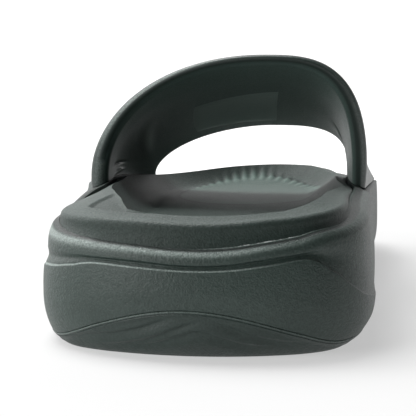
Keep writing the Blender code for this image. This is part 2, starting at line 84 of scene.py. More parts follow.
# The widest line of the sole from above: its middle and half width, as shares of the ball width
Outline = namedtuple("Outline", "along centre half")
OUTLINE = (
    Outline(0.025, -0.002, 0.268),
    Outline(0.060, -0.006, 0.371),
    Outline(0.125, -0.012, 0.430),
    Outline(0.200, -0.016, 0.438),
    Outline(0.300, -0.021, 0.441),
    Outline(0.400, -0.033, 0.445),
    Outline(0.500, -0.053, 0.460),
    Outline(0.600, -0.071, 0.485),
    Outline(0.680, -0.076, 0.494),
    Outline(0.760, -0.064, 0.490),
    Outline(0.840, -0.035, 0.453),
    Outline(0.910, 0.000, 0.373),
    Outline(0.960, 0.032, 0.277),
    Outline(0.985, 0.050, 0.180),
)

# The side wall on each side: how far its foot lies in and how far its shoulder leans in, as
# shares of TUCK, then three heights as shares of the sole height, and its shoulder's rounding
Side = namedtuple(
    "Side",
    "along tuck_lateral tuck_medial lean widest"
    " shoulder_lateral shoulder_medial ledge_lateral ledge_medial round",
)
SIDE = (
    Side(0.000, 1.00, 1.00, 0.16, 0.53, 0.933, 0.933, 0.995, 0.995, 0.80),
    Side(0.008, 0.95, 0.98, 0.17, 0.53, 0.935, 1.015, 1.000, 1.060, 0.80),
    Side(0.022, 0.86, 0.95, 0.18, 0.53, 0.942, 1.070, 1.015, 1.120, 0.85),
    Side(0.034, 0.78, 0.92, 0.19, 0.53, 0.950, 1.120, 1.030, 1.165, 0.90),
    Side(0.060, 0.60, 0.85, 0.20, 0.53, 0.965, 1.165, 1.050, 1.185, 1.00),
    Side(0.140, 0.50, 0.75, 0.26, 0.54, 0.985, 1.213, 1.080, 1.250, 1.00),
    Side(0.220, 0.50, 0.72, 0.26, 0.55, 1.020, 1.240, 1.180, 1.270, 1.00),
    Side(0.320, 0.52, 0.70, 0.16, 0.56, 1.080, 1.230, 1.250, 1.270, 0.80),
    Side(0.420, 0.60, 0.75, 0.06, 0.57, 1.130, 1.170, 1.250, 1.250, 0.30),
    Side(0.600, 0.70, 0.75, 0.03, 0.57, 1.140, 1.140, 1.200, 1.200, 0.20),
    Side(0.780, 0.75, 0.75, 0.05, 0.56, 1.060, 1.060, 1.100, 1.100, 0.30),
    Side(0.900, 0.90, 0.90, 0.16, 0.60, 0.980, 0.980, 1.000, 1.000, 1.00),
    Side(1.000, 1.00, 1.00, 0.22, 0.66, 0.960, 0.960, 0.980, 0.980, 1.00),
)

# The ridges in the big arc: the crest of each, by degrees around the heel from its middle,
# lateral side positive, with its height in metres and how strongly it stands out there
Crest = namedtuple("Crest", "around height strength")
RIDGES = (
    (
        Crest(4.0, 0.0120, 0.0),
        Crest(6.5, 0.0108, 0.8),
        Crest(9.5, 0.0090, 1.0),
        Crest(14.0, 0.0070, 1.0),
        Crest(20.0, 0.0056, 0.6),
        Crest(26.0, 0.0046, 0.0),
    ),
    (
        Crest(-20.0, 0.0042, 0.0),
        Crest(-14.0, 0.0052, 0.7),
        Crest(-9.4, 0.0071, 1.0),
        Crest(-5.0, 0.0097, 1.0),
        Crest(-1.0, 0.0113, 0.2),
        Crest(3.0, 0.0094, 1.0),
        Crest(7.5, 0.0064, 1.0),
        Crest(12.0, 0.0043, 1.0),
        Crest(18.0, 0.0028, 0.0),
    ),
    (
        Crest(-13.0, 0.0034, 0.0),
        Crest(-8.0, 0.0046, 0.8),
        Crest(-4.0, 0.0065, 1.0),
        Crest(-0.3, 0.0083, 1.0),
        Crest(3.5, 0.0066, 1.0),
        Crest(7.0, 0.0047, 0.9),
        Crest(12.0, 0.0034, 0.0),
    ),
)
RIDGE_DEPTH = 0.00080
RIDGE_DROP = 0.0006
RIDGE_FADE = 0.0034

# The two groups of grooves in the tread
Tread = namedtuple("Tread", "first last grooves")
TREADS = (
    Tread(0.115, 0.325, 5),
    Tread(0.580, 0.790, 5),
)


class Curve:
    """A smooth line through one column of a table, against the table's first column."""

    def __init__(self, rows, column):
        self.places = [row[0] for row in rows]
        self.values = [getattr(row, column) for row in rows]
        last = len(rows) - 1
        self.slopes = [
            (self.values[min(k + 1, last)] - self.values[max(k - 1, 0)])
            / (self.places[min(k + 1, last)] - self.places[max(k - 1, 0)])
            for k in range(last + 1)
        ]

    def __call__(self, at):
        if at <= self.places[0]:
            return self.values[0]
        if at >= self.places[-1]:
            return self.values[-1]
        i = next(k for k, place in enumerate(self.places) if place > at) - 1
        span = self.places[i + 1] - self.places[i]
        s = (at - self.places[i]) / span
        start = (2 * s**3 - 3 * s**2 + 1) * self.values[i]
        start += (s**3 - 2 * s**2 + s) * span * self.slopes[i]
        end = (3 * s**2 - 2 * s**3) * self.values[i + 1]
        end += (s**3 - s**2) * span * self.slopes[i + 1]
        return start + end


def mix(a, b, share):
    return a + (b - a) * share


def ease(share):
    """0 to 1 with level ends."""
    s = min(max(share, 0.0), 1.0)
    return s * s * (3 - 2 * s)


def bump(value):
    """1 at 0, falling to 0 at -1 and 1."""
    return 1 - ease(abs(value))


# Going around the sole, turn is 0 at the back of the heel and pi at the toe, lateral side first
ROUND_OUTLINE = tuple(
    Outline(row.along, row.centre, row.half / math.sqrt(row.along * (1 - row.along)))
    for row in OUTLINE
)
outline_centre = Curve(ROUND_OUTLINE, "centre")
outline_half = Curve(ROUND_OUTLINE, "half")
TURNS = [2 * math.pi * k / STEPS_AROUND for k in range(STEPS_AROUND)]
TOE = STEPS_AROUND // 2


def along_of(turn):
    return (1 - math.cos(turn)) / 2


def turn_of(along):
    return math.acos(1 - 2 * along)


def edge(turn):
    along = along_of(turn)
    across = outline_centre(along) - outline_half(along) * math.sin(turn) / 2
    return Vector((across * BALL_WIDTH, along * LENGTH))


ACROSS = [edge(turn).x for turn in TURNS]
CENTRE = Vector(((min(ACROSS) + max(ACROSS)) / 2, LENGTH / 2))


@functools.cache
def edge_and_inward(turn):
    """A point of the widest line, from the middle of the sole, and the way in from it."""
    step = 0.01
    tangent = (edge(turn + step) - edge(turn - step)).normalized()
    return edge(turn) - CENTRE, Vector((tangent.y, -tangent.x))


def wall_point(turn, inset, height):
    start, inward = edge_and_inward(turn)
    flat = start + inward * inset
    return Vector((flat.x, flat.y, height))


@functools.cache
def lateral_share(turn):
    """1 on the lateral side, 0 on the medial side, and a half at both ends."""
    sine = math.sin(turn)
    return (1 + sine * (3 - sine**2) / 2) / 2


def ground(along):
    """Height of the tread: flat under heel and ball, a low arch, and the toe spring."""
    arch = ARCH_RISE * (1 - ease(abs(along - ARCH_PLACE) / ARCH_REACH))
    spring = max(along - SPRING_START, 0.0) / (1 - SPRING_START)
    return arch + TOE_SPRING * spring**2


def rise(along):
    """How much the toe spring lifts what lies above the tread."""
    spring = max(along - SPRING_START, 0.0) / (1 - SPRING_START)
    return TOE_SPRING * TOP_SPRING * spring**2


def sides(rows, column):
    """A function of the turn from a table's two columns for the two sides."""
    lateral = Curve(rows, column + "lateral")
    medial = Curve(rows, column + "medial")

    @functools.cache
    def value(turn):
        along = along_of(turn)
        return mix(medial(along), lateral(along), lateral_share(turn))

    return value


side_tuck = sides(SIDE, "tuck_")
side_shoulder = sides(SIDE, "shoulder_")
side_lean = Curve(SIDE, "lean")
side_widest = Curve(SIDE, "widest")


@functools.cache
def widest_height(turn):
    along = along_of(turn)
    return side_widest(along) * SOLE_HEIGHT + rise(along)


@functools.cache
def shoulder_height(turn):
    return side_shoulder(turn) * SOLE_HEIGHT + rise(along_of(turn))


@functools.cache
def tuck_and_lean(turn):
    return side_tuck(turn) * TUCK, side_lean(along_of(turn)) * TUCK


def wall_inset(turn, height):
    """How far in the side wall lies from the widest line, at a height."""
    tuck, lean = tuck_and_lean(turn)
    widest = widest_height(turn)
    if height < widest:
        share = (widest - height) / (widest - ground(along_of(turn)))
        return tuck * share**WALL_CURVE
    return lean * ((height - widest) / (shoulder_height(turn) - widest)) ** 2


def degrees_from_heel(turn):
    """Degrees around the heel from its middle, lateral side positive."""
    angle = math.degrees(turn)
    return angle - 360.0 if angle > 180.0 else angle


@functools.cache
def wave_height(turn):
    """Height of the outsole's edge: a low band that swells into the big arc."""
    away = min(abs(degrees_from_heel(turn) - WAVE_CENTRE) / WAVE_TURN, 1.0)
    swell = math.cos(away * math.pi / 2) ** 2
    return ground(along_of(turn)) + mix(BAND_HEIGHT, WAVE_HEIGHT, swell)


RIDGE_CURVES = tuple((Curve(rows, "height"), Curve(rows, "strength")) for rows in RIDGES)


def carved(turn, height):
    """How deep the ridges leave the arc's face: each falls back below its crest, then fades."""
    around = degrees_from_heel(turn)
    depth = 0.0
    for crest, strength in RIDGE_CURVES:
        below = crest(around) - height
        drop = ease(below / RIDGE_DROP + 0.5)
        depth += RIDGE_DEPTH * strength(around) * drop * (1 - ease(below / RIDGE_FADE))
    return depth


def tread_depth(along, across):
    """Depth of the grooves, and their rounded mouths, at a place under the sole."""
    depth = 0.0
    for tread in TREADS:
        for k in range(tread.grooves):
            middle = mix(tread.first, tread.last, k / (tread.grooves - 1))
            away = (along - middle) * LENGTH / (GROOVE_WIDTH / 2)
            depth = max(depth, GROOVE_DEPTH * bump(away))
    return depth * ease((GROOVE_END - abs(across)) / GROOVE_FADE)


def close_across(mesh, loop):
    """Faces from each lateral point of a ring to its medial partner."""
    count = len(loop)
    faces = [mesh.faces.new((loop[0], loop[1], loop[count - 1]))]
    for i in range(1, TOE - 1):
        faces.append(
            mesh.faces.new((loop[i], loop[i + 1], loop[count - i - 1], loop[count - i]))
        )
    faces.append(mesh.faces.new((loop[TOE - 1], loop[TOE], loop[TOE + 1])))
    return faces


def finish_piece(name, mesh, sharp=40.0):
    """A named piece on the one body, from a finished bmesh."""
    bmesh.ops.recalc_face_normals(mesh, faces=mesh.faces)
    data = bpy.data.meshes.new(name)
    mesh.to_mesh(data)
    mesh.free()
    data.shade_smooth()
    data.set_sharp_from_angle(angle=math.radians(sharp))
    piece = bpy.data.objects.new(name, data)
    bpy.context.scene.collection.objects.link(piece)
    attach(piece, "root")
    return piece


def sweep(mesh, profile):
    """One profile followed all the way around the sole; gives its first and last ring.

    profile(turn) lists pairs of a point and a mark, which materials read as the attribute mark.
    """
    mark = mesh.verts.layers.float.new("mark")
    columns = []
    for turn in TURNS:
        column = []
        for point, value in profile(turn):
            vertex = mesh.verts.new(point)
            vertex[mark] = value
            column.append(vertex)
        columns.append(column)
    for one, other in zip(columns, columns[1:] + columns[:1]):
        for k in range(len(one) - 1):
            mesh.faces.new((one[k], other[k], other[k + 1], one[k + 1]))
    return [column[0] for column in columns], [column[-1] for column in columns]


def lip_rows(turn, gap):
    """The inner face of the outsole's lip, from its plate up."""
    bottom = ground(along_of(turn)) + PLATE
    rows = []
    for k in range(LIP_LEVELS + 1):
        height = mix(bottom, wave_height(turn), k / LIP_LEVELS)
        inset = wall_inset(turn, height) + BEAD_STEP + LIP + gap
        rows.append((wall_point(turn, inset, height + gap), 0.0))
    return rows


def outsole_profile(turn):
    """From the plate's top over the lip, its bead and the ridges, down to the rounded foot."""
    rows = lip_rows(turn, 0.0)
    top = wave_height(turn)
    bottom = ground(along_of(turn))
    rows.append((wall_point(turn, wall_inset(turn, top) + 2 * BEAD, top), 0.0))
    # The bead's rounding; its upper half is painted pale, a painted highlight.
    for degrees in (90, 62, 34, 6, -22, -50, -78):
        angle = math.radians(degrees)
        height = top - BEAD + BEAD * math.sin(angle)
        inset = wall_inset(turn, height) + BEAD * (1 - BEAD_PROUD - math.cos(angle))
        rows.append((wall_point(turn, inset, height), BEAD_PAINTED_HIGHLIGHT if degrees > 0 else 0.0))
    start = top - 2 * BEAD
    for k in range(1, WALL_LEVELS + 1):
        height = mix(start, bottom + FOOT_ROUND, k / WALL_LEVELS)
        settle = ease((start - height) / BEAD_FOOT)
        inset = wall_inset(turn, height) + BEAD_STEP * settle + carved(turn, height)
        rows.append((wall_point(turn, inset, height), 0.0))
    inset = wall_inset(turn, bottom) + BEAD_STEP
    for degrees in (35, 65, 90):
        angle = math.radians(degrees)
        across = inset + FOOT_ROUND * (1 - math.cos(angle))
        height = bottom + FOOT_ROUND * (1 - math.sin(angle))
        rows.append((wall_point(turn, across, height), 0.0))
    return rows


def underside(mesh, loop):
    """Rows from side to side, bent into waves, with the grooves pressed in."""
    mark = mesh.verts.layers.float["mark"]
    count = len(loop)
    rows = []
    for i in range(1, TOE):
        left, right = loop[i], loop[count - i]
        along = along_of(TURNS[i])
        calm = ease(along / GROOVE_CALM_HEEL) * ease((1 - along) / GROOVE_CALM_TOE)
        row = [left]
        for k in range(1, STEPS_ACROSS):
            across = 2 * k / STEPS_ACROSS - 1
            point = left.co.lerp(right.co, (across + 1) / 2)
            bend = math.cos(math.pi * across * GROOVE_BENDS) * (1 - across**2)
            point.y += GROOVE_WAVE * bend * calm
            depth = tread_depth(along, across)
            point.z += depth
            vertex = mesh.verts.new(point)
            # The grooves are painted darker the deeper they are: painted shade.
            vertex[mark] = -depth / GROOVE_DEPTH
            row.append(vertex)
        row.append(right)
        rows.append(row)
    for near, far in zip(rows, rows[1:]):
        for k in range(STEPS_ACROSS):
            mesh.faces.new((near[k], far[k], far[k + 1], near[k + 1]))
    for k in range(STEPS_ACROSS):
        mesh.faces.new((loop[0], rows[0][k], rows[0][k + 1]))
        mesh.faces.new((loop[TOE], rows[-1][k + 1], rows[-1][k]))


class Socket:
    """A shader socket that takes part in plain sums: an expression adds its Math nodes."""

    def __init__(self, finish, output):
        self.finish = finish
        self.output = output

    def maths(self, operation, first, second):
        return self.finish.add("ShaderNodeMath", {"operation": operation}, {0: first, 1: second})

    def __add__(self, other):
        return self.maths("ADD", self, other)

    def __radd__(self, other):
        return self.maths("ADD", other, self)

    def __sub__(self, other):
        return self.maths("SUBTRACT", self, other)

    def __rsub__(self, other):
        return self.maths("SUBTRACT", other, self)

    def __mul__(self, other):
        return self.maths("MULTIPLY", self, other)

    def __rmul__(self, other):
        return self.maths("MULTIPLY", other, self)

    def above(self, low, high):
        """0 below low, 1 above high, and a smooth step between."""
        settings = {"interpolation_type": "SMOOTHSTEP"}
        sockets = {"Value": self, "From Min": low, "From Max": high}
        return self.finish.add("ShaderNodeMapRange", settings, sockets)


class Finish:
    """A material and the nodes that make it."""

    def __init__(self, name):
        self.material = bpy.data.materials.new(name)
        self.material.use_nodes = True
        self.tree = self.material.node_tree
        self.shader = self.tree.nodes["Principled BSDF"]

    def add(self, kind, settings, sockets, output=0):
        """Any node: its settings first, then its sockets' values or links."""
        node = self.tree.nodes.new(kind)
        for name, value in settings.items():
            setattr(node, name, value)
        for name, value in sockets.items():
            self.feed(node.inputs[name], value)
        return Socket(self, node.outputs[output])

    def feed(self, socket, value):
        if isinstance(value, Socket):
            self.tree.links.new(value.output, socket)
        else:
            socket.default_value = value

    def wear(self, sockets):
        for name, value in sockets.items():
            self.feed(self.shader.inputs[name], value)

    def noise(self, scale, detail):
        place = self.add("ShaderNodeTexCoord", {}, {}, "Object")
        sockets = {"Vector": place, "Scale": scale, "Detail": detail}
        return self.add("ShaderNodeTexNoise", {}, sockets, "Fac")

    def attribute(self, name):
        return self.add("ShaderNodeAttribute", {"attribute_name": name}, {}, "Fac")

    def blend(self, factor, first, second):
        """A colour between two others."""
        sockets = {0: factor, 6: first, 7: second}
        return self.add("ShaderNodeMix", {"data_type": "RGBA"}, sockets, 2)

    def relief(self, height, depth):
        sockets = {"Height": height, "Distance": depth, "Strength": 1.0}
        return self.add("ShaderNodeBump", {}, sockets)


# Sizes of the foam's specks, as noise per metre: sand, coarser sand, soft clouds and painted
# glints
SAND = 1900.0
COARSE = 800.0
CLOUDS = 38.0
GLINTS = 650.0
SAND_ROUGHNESS = 0.30
# The colour of the painted glints
GLINT_COLOUR = (0.85, 0.90, 0.88, 1.0)


def foam(name, dark, light, edge, deep, rough, gloss, grain):
    """Moulded foam with a sandy skin from dark to light.

    Where mark rises from 0 to 1 it turns to edge, a painted highlight with sandy specks, above 1
    it takes painted glints, and towards -1 it turns to deep: painted shade, but on the footbed the
    toe oval's own paler colour.
    """
    finish = Finish(name)
    sand = finish.noise(SAND, 2.0)
    coarse = finish.noise(COARSE, 1.0)
    clouds = finish.noise(CLOUDS, 2.0)
    share = sand.above(0.30, 0.70) * 0.45 + coarse.above(0.30, 0.70) * 0.25
    share = share + clouds.above(0.30, 0.70) * 0.30
    mark = finish.attribute("mark")
    # Marks from 0 to 1 blend in edge, a painted highlight; marks below 0 blend in deep, painted
    # shade except on the footbed's toe oval; marks above 1 get painted glints.
    painted_highlight = mark.above(0.0, 1.0) * (sand.above(0.30, 0.62) * 0.55 + 0.45)
    colour = finish.blend(painted_highlight, finish.blend(share, dark, light), edge)
    colour = finish.blend((0 - mark).above(0.0, 1.0), colour, deep)
    glints = mark.above(1.0, 1.6) * finish.noise(GLINTS, 1.0).above(0.45, 0.60)
    colour = finish.blend(glints, colour, GLINT_COLOUR)
    finish.wear({
        "Base Color": colour,
        "Roughness": rough + (0.5 - sand) * SAND_ROUGHNESS,
        "Normal": finish.relief(sand * 0.6 + coarse * 0.4, grain),
        "Specular IOR Level": gloss,
    })
    return finish.material


mesh = bmesh.new()
first_ring, last_ring = sweep(mesh, outsole_profile)
close_across(mesh, first_ring)
underside(mesh, last_ring)
outsole = finish_piece("outsole_skin", mesh)
outsole.data.materials.append(foam(
    "outsole_foam",
    dark=(0.014, 0.025, 0.021, 1.0),
    light=(0.028, 0.045, 0.039, 1.0),
    edge=(0.095, 0.125, 0.113, 1.0),
    deep=(0.008, 0.014, 0.012, 1.0),
    rough=0.50,
    gloss=0.45,
    grain=0.00026,
))
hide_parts("outsole")


# The midsole is the thick moulded foam body. Its wall bulges out; a raised panel runs around the
# heel and its top edge sweeps down both sides. Above it the wall tucks in under a rounded
# shoulder, and behind that a thin ridge runs along the foot of the footbed. The panel's top edge
# and the shoulder carry painted highlights, the slope up to the footbed painted shade, and the
# ridge painted glints.
RIM_INSET = 0.0055
RIM_HEIGHT = 0.0375
CUP_DEPTH = 0.0105
WELL_DEPTH = 0.0060
CLEARANCE = 0.0003
SHOULDER_ROUND = 0.0026
PANEL_STEP = 0.0011
PANEL_EDGE = 0.0005
PANEL_HOLLOW = 0.0009
PANEL_PROUD = 0.45
PANEL_LEVELS = 34
HOLLOW_LEVELS = 18
ROLL_LEVELS = 30
ROLL_POWER = 0.9
LATERAL_LEDGE = 0.0020
SHOULDER_SEAT = 0.0010
GUTTER_DEPTH = 0.0002
GUTTER_PLACE = 0.86
GUTTER_RIDGE = 0.0005
GUTTER_WIDTH = 0.14

# The panel's top edge on each side, as shares of the sole height, and how much of its step is
# left there
Panel = namedtuple("Panel", "along lateral medial step")
PANEL = (
    Panel(0.000, 0.815, 0.815, 1.0),
    Panel(0.008, 0.815, 0.873, 1.0),
    Panel(0.023, 0.820, 0.937, 1.0),
    Panel(0.032, 0.820, 0.887, 1.0),
    Panel(0.038, 0.820, 0.805, 1.0),
    Panel(0.047, 0.820, 0.723, 1.0),
    Panel(0.059, 0.815, 0.610, 1.0),
    Panel(0.080, 0.800, 0.500, 1.0),
    Panel(0.105, 0.765, 0.460, 0.9),
    Panel(0.140, 0.610, 0.437, 0.8),
    Panel(0.220, 0.440, 0.400, 0.3),
    Panel(0.300, 0.360, 0.370, 0.0),
    Panel(1.000, 0.400, 0.400, 0.0),
)

# The footbed on each side: how far in its wall stands and how wide its rim is, as shares of
# RIM_INSET and RIM_WIDTH, then its edge's and crest's heights, and its cup's depth
Bed = namedtuple(
    "Bed",
    "along wall_lateral wall_medial rim_lateral rim_medial edge_lateral edge_medial crest cup",
)
BED = (
    Bed(0.000, 0.90, 0.90, 0.55, 0.55, 0.973, 0.973, 1.012, 0.95),
    Bed(0.008, 0.89, 0.93, 0.64, 0.56, 0.976, 1.005, 1.022, 0.96),
    Bed(0.022, 0.88, 0.98, 1.10, 0.58, 0.980, 1.024, 1.036, 0.98),
    Bed(0.040, 0.86, 1.05, 1.62, 0.60, 0.980, 1.042, 1.054, 1.00),
    Bed(0.080, 0.84, 1.25, 1.83, 0.58, 0.982, 1.062, 1.086, 1.10),
    Bed(0.140, 0.84, 1.42, 1.66, 0.55, 0.985, 1.061, 1.100, 1.15),
    Bed(0.200, 0.88, 1.45, 1.28, 0.50, 0.985, 1.055, 1.090, 1.15),
    Bed(0.270, 1.05, 1.42, 0.76, 0.36, 0.985, 1.035, 1.065, 1.05),
    Bed(0.345, 1.20, 1.20, 0.40, 0.22, 0.985, 1.010, 1.045, 0.95),
    Bed(0.420, 1.42, 1.15, 0.28, 0.22, 0.985, 0.990, 1.020, 0.85),
    Bed(0.600, 1.95, 1.80, 0.26, 0.26, 0.950, 0.950, 0.970, 0.80),
    Bed(0.780, 2.35, 2.20, 0.26, 0.26, 0.870, 0.870, 0.885, 0.60),
    Bed(0.880, 2.10, 2.10, 0.40, 0.40, 0.835, 0.835, 0.860, 0.50),
    Bed(1.000, 1.60, 1.60, 0.50, 0.50, 0.835, 0.835, 0.860, 0.45),
)

panel_share = sides(PANEL, "")
panel_step = Curve(PANEL, "step")
side_ledge = sides(SIDE, "ledge_")
side_round = Curve(SIDE, "round")
bed_wall = sides(BED, "wall_")
bed_edge_share = sides(BED, "edge_")
bed_crest_share = Curve(BED, "crest")
bed_cup_share = Curve(BED, "cup")


def bed_inset(turn):
    return bed_wall(turn) * RIM_INSET


@functools.cache
def bed_edge(turn):
    return bed_edge_share(turn) * RIM_HEIGHT + rise(along_of(turn))


def crest_height(along):
    return bed_crest_share(along) * RIM_HEIGHT + rise(along)


def cup_floor(along):
    return crest_height(along) - bed_cup_share(along) * CUP_DEPTH


@functools.cache
def ledge_top(turn):
    return side_ledge(turn) * SOLE_HEIGHT + rise(along_of(turn))


def ledge_height(turn, inset):
    """Top of the midsole between its shoulder and the footbed."""
    outer = shoulder_height(turn)
    start = wall_inset(turn, outer)
    share = (inset - start) / (bed_inset(turn) - start)
    return mix(outer, ledge_top(turn), min(max(share, 0.0), 1.0))


def strap_covers(along):
    """1 where the strap stands on the ledge, so that nothing there is raised or carved."""
    return ease((along - 0.36) / 0.06) * ease((0.90 - along) / 0.05)


def midsole_profile(turn):
    along = along_of(turn)
    rows = lip_rows(turn, CLEARANCE)[:-1]
    bottom = wave_height(turn) + SEAM
    lip = wall_inset(turn, bottom) + BEAD_STEP + LIP + CLEARANCE
    rows.append((wall_point(turn, lip, bottom), 0.0))
    for degrees in (90, 60, 30, 0):
        angle = math.radians(degrees)
        height = bottom + BEAD * 0.5 * (1 - math.sin(angle))
        inset = wall_inset(turn, height) + BEAD * (1 - math.cos(angle))
        rows.append((wall_point(turn, inset, height), 0.0))
    start = bottom + BEAD * 0.5
    panel = panel_share(turn) * SOLE_HEIGHT + rise(along)
    step = PANEL_STEP * panel_step(along)
    step *= 1 - 0.6 * ease((along - 0.04) / 0.05) * lateral_share(turn)
    for k in range(1, PANEL_LEVELS + 1):
        share = k / PANEL_LEVELS
        height = mix(start, panel - PANEL_EDGE, share)
        proud = step * PANEL_PROUD * ease(share / 0.5)
        rows.append((wall_point(turn, wall_inset(turn, height) - proud, height), 0.0))
    around = degrees_from_heel(turn)
    # The panel's top edge is painted pale, a painted highlight, faint on the medial side of the
    # heel.
    line = 0.30 + 0.70 * ease((around + 16) / 12)
    for degrees in (25, 50, 75, 100):
        angle = math.radians(degrees)
        height = panel - PANEL_EDGE + PANEL_EDGE * math.sin(angle)
        inset = wall_inset(turn, height) - step * PANEL_PROUD
        inset += step * 0.5 * (1 - math.cos(angle))
        rows.append((wall_point(turn, inset, height), line * panel_step(along)))
    foot = shoulder_height(turn) - side_round(along) * SHOULDER_ROUND
    for k in range(1, HOLLOW_LEVELS + 1):
        share = k / HOLLOW_LEVELS
        height = mix(panel, foot, share)
        hollow = step * (1 - PANEL_PROUD) * (1 - ease(share / 0.45))
        hollow += PANEL_HOLLOW * panel_step(along) * math.sin(math.pi * share) ** 2
        rows.append((wall_point(turn, wall_inset(turn, height) + hollow, height), 0.0))
    start_inset = wall_inset(turn, foot)
    well = bed_inset(turn) - CLEARANCE
    shown = 1 - strap_covers(along)
    top = ledge_top(turn) + LATERAL_LEDGE * bump((along - 0.125) / 0.10) * lateral_share(turn)
    # The roll is painted pale, a painted highlight that fades on the medial side; the slope behind
    # it is painted dark, painted shade; the ridge near the middle of the heel gets painted glints.
    shining = bump((around + 12) / 24)
    painted_highlight = 0.15 + 0.85 * ease((around + 26) / 22) * ease((140 - around) / 60)
    for k in range(1, ROLL_LEVELS + 1):
        angle = math.radians(90 * k / ROLL_LEVELS)
        share = 1 - math.cos(angle)
        inset = mix(start_inset, well, share)
        rolled = mix(foot, top, math.sin(angle) ** ROLL_POWER)
        rolled -= GUTTER_DEPTH * ease((share - 0.40) / 0.35)
        glint = shining * bump((share - GUTTER_PLACE) / GUTTER_WIDTH)
        rolled += GUTTER_RIDGE * glint
        seat = foot + SHOULDER_SEAT * math.sin(angle)
        seat = max(min(seat, ledge_height(turn, inset)), foot)
        height = mix(ledge_height(turn, inset) if share > 0.5 else seat, rolled, shown)
        pale = painted_highlight * bump((share - 0.24) / 0.26)
        shade = ease((share - 0.42) / 0.14)
        mark = shown * (pale - shade * (1 - glint) + 2 * glint)
        rows.append((wall_point(turn, inset, height), mark))
    floor = cup_floor(along) - WELL_DEPTH
    rows.append((wall_point(turn, well, floor), 0.0))
    return rows


mesh = bmesh.new()
first_ring, last_ring = sweep(mesh, midsole_profile)
close_across(mesh, first_ring)
close_across(mesh, last_ring)
midsole = finish_piece("midsole_skin", mesh)
midsole.data.materials.append(foam(
    "midsole_foam",
    dark=(0.018, 0.031, 0.026, 1.0),
    light=(0.038, 0.059, 0.051, 1.0),
    edge=(0.190, 0.232, 0.215, 1.0),
    deep=(0.007, 0.013, 0.011, 1.0),
    rough=0.50,
    gloss=0.45,
    grain=0.00030,
))
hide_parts("midsole")


# The footbed is a cupped foam insole let into the midsole. Its rim stands up as a rounded wall
# around the foot, broad on the lateral side of the heel, and falls steeply into the cup. Under
# the toes it has a paler oval with short ribs around its front.
RIM_WIDTH = 0.0100
RIM_ROUND = 0.0019
RIM_FLARE = 0.0009
RIM_FLARE_DROP = 0.0002
RIM_PAINTED_HIGHLIGHT = 0.9
CREST_SHARE = 0.9
SLOPE_LEVELS = 24
CUP_LEVELS = 60
CUP_SIDE = 0.34
CUP_POWER = 1.7
CUP_PAINTED_LIGHT = 0.55
SPINE_HEEL = 0.15
SPINE_TOE = 0.86
RECESS_DEPTH = 0.0008
TOE_RIBS = 44
TOE_RIB_HEIGHT = 0.0005
TOE_OVAL = Vector((0.0054, 0.0600))
TOE_OVAL_WIDTH = 0.0271
TOE_OVAL_LENGTH = 0.0630

# The shallow leaf pressed into the rim's top on the lateral side of the heel: by degrees around
# the heel, how far over the rim its outer side lies, where 1 is the crest
Leaf = namedtuple("Leaf", "around outer")
LEAF = (
    Leaf(8.0, 1.05),
    Leaf(14.0, 0.76),
    Leaf(20.0, 0.56),
    Leaf(28.0, 0.42),
    Leaf(34.0, 0.36),
    Leaf(40.0, 0.52),
    Leaf(45.0, 0.76),
    Leaf(49.0, 1.05),
)
rim_share = sides(BED, "rim_")
leaf_outer = Curve(LEAF, "outer")


def towards_middle(point, share):
    """A point drawn in level towards the sole's long middle line."""
    y = min(max(point.y, SPINE_HEEL * LENGTH - CENTRE.y), SPINE_TOE * LENGTH - CENTRE.y)
    along = (y + CENTRE.y) / LENGTH
    middle = Vector((outline_centre(along) * BALL_WIDTH - CENTRE.x, y, 0.0))
    return middle.lerp(Vector((point.x, point.y, 0.0)), share)


def toe_oval(point):
    """1 inside the oval under the toes, 0 outside, and how far a rib stands up at its front."""
    x = (point.x - TOE_OVAL.x) / TOE_OVAL_WIDTH
    y = (point.y - TOE_OVAL.y) / TOE_OVAL_LENGTH
    out = math.hypot(x, y)
    inside = ease((1.06 - out) / 0.10)
    rib = 0.5 + 0.5 * math.cos(TOE_RIBS * math.atan2(x, y))
    rib *= bump((out - 0.97) / 0.15) * ease((y - 0.05) / 0.3)
    return inside, rib


